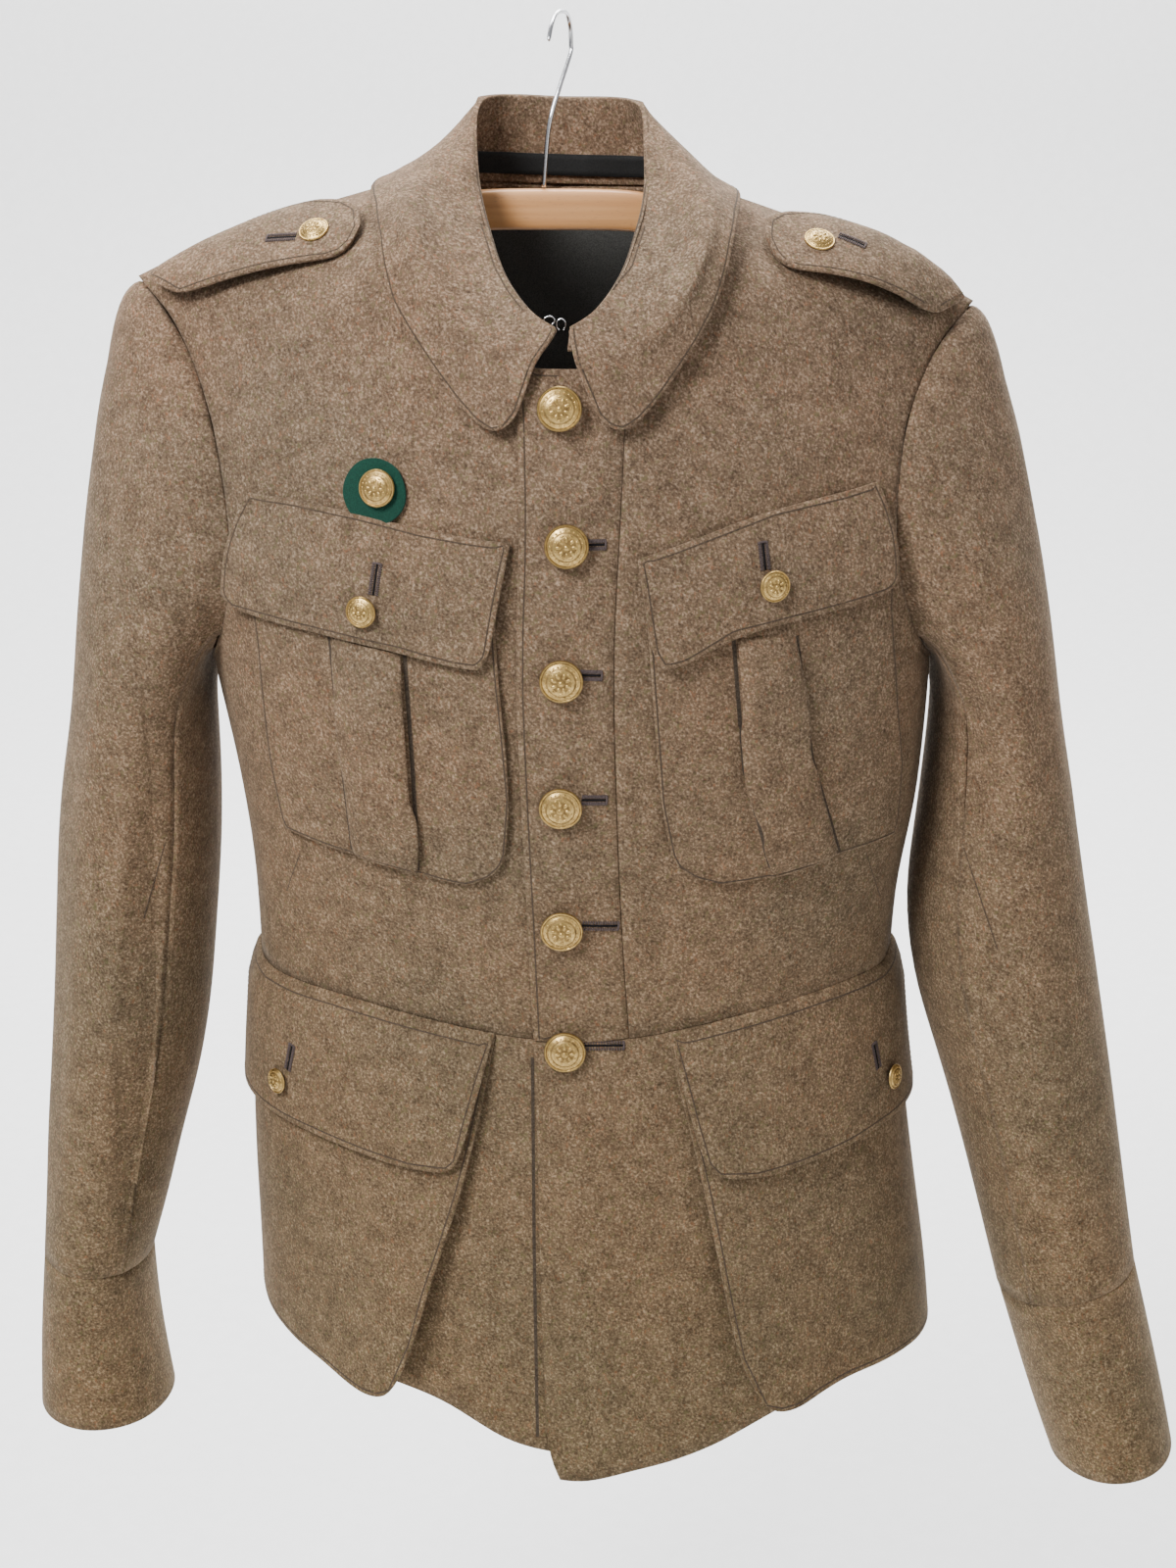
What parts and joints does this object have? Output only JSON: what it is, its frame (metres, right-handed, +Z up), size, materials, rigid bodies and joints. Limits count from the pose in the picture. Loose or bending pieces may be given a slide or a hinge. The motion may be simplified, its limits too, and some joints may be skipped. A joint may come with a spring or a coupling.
{
  "type": "wool military tunic on a wooden hanger",
  "caption": "Thin-walled wool military tunic with a turned-down collar, brass buttons, patch pockets and shoulder straps, hung open at neck, hem and cuffs on a wooden hanger.",
  "frame": {"origin": "inner top of the hanger's hook, where a rail carries it", "axes": "+Z up, -Y out of the tunic's front, +X to the wearer's left"},
  "size_m": [0.6712, 0.2439, 0.8257],
  "materials": {
    "wool": "felted melange wool",
    "lining": "black cotton lining",
    "brass": "dull gold",
    "felt": "dark green felt",
    "beech": "satin varnish",
    "steel": "polished"
  },
  "bodies": {
    "root": {"front_upper_right": "wool", "front_upper_left": "wool", "back_upper_right": "wool", "back_upper_left": "wool", "placket_left": "wool", "skirt_front_right": "wool", "skirt_front_left": "wool", "skirt_back": "wool", "upper_pocket_right": "wool", "upper_pocket_left": "wool", "upper_flap_right": "wool", "upper_flap_left": "wool", "lower_pocket_right": "wool", "lower_pocket_left": "wool", "lower_flap_right": "wool", "lower_flap_left": "wool", "sleeve_upper_right": "wool", "sleeve_upper_left": "wool", "sleeve_under_right": "wool", "sleeve_under_left": "wool", "cuff_right": "wool", "cuff_left": "wool", "shoulder_strap_right": "wool", "shoulder_strap_left": "wool", "collar": "wool", "yoke_lining": "lining", "neck_tape": "lining", "hanger_bar": "beech", "hanger_hook": "steel", "collar_eye": "steel", "collar_hook": "steel", "front_button_1": "brass", "front_button_2": "brass", "front_button_3": "brass", "front_button_4": "brass", "front_button_5": "brass", "front_button_6": "brass", "upper_flap_button_right": "brass", "upper_flap_button_left": "brass", "lower_flap_button_right": "brass", "lower_flap_button_left": "brass", "strap_button_right": "brass", "strap_button_left": "brass", "badge_disc": "felt", "badge_button": "brass"}
  },
  "joints": []
}
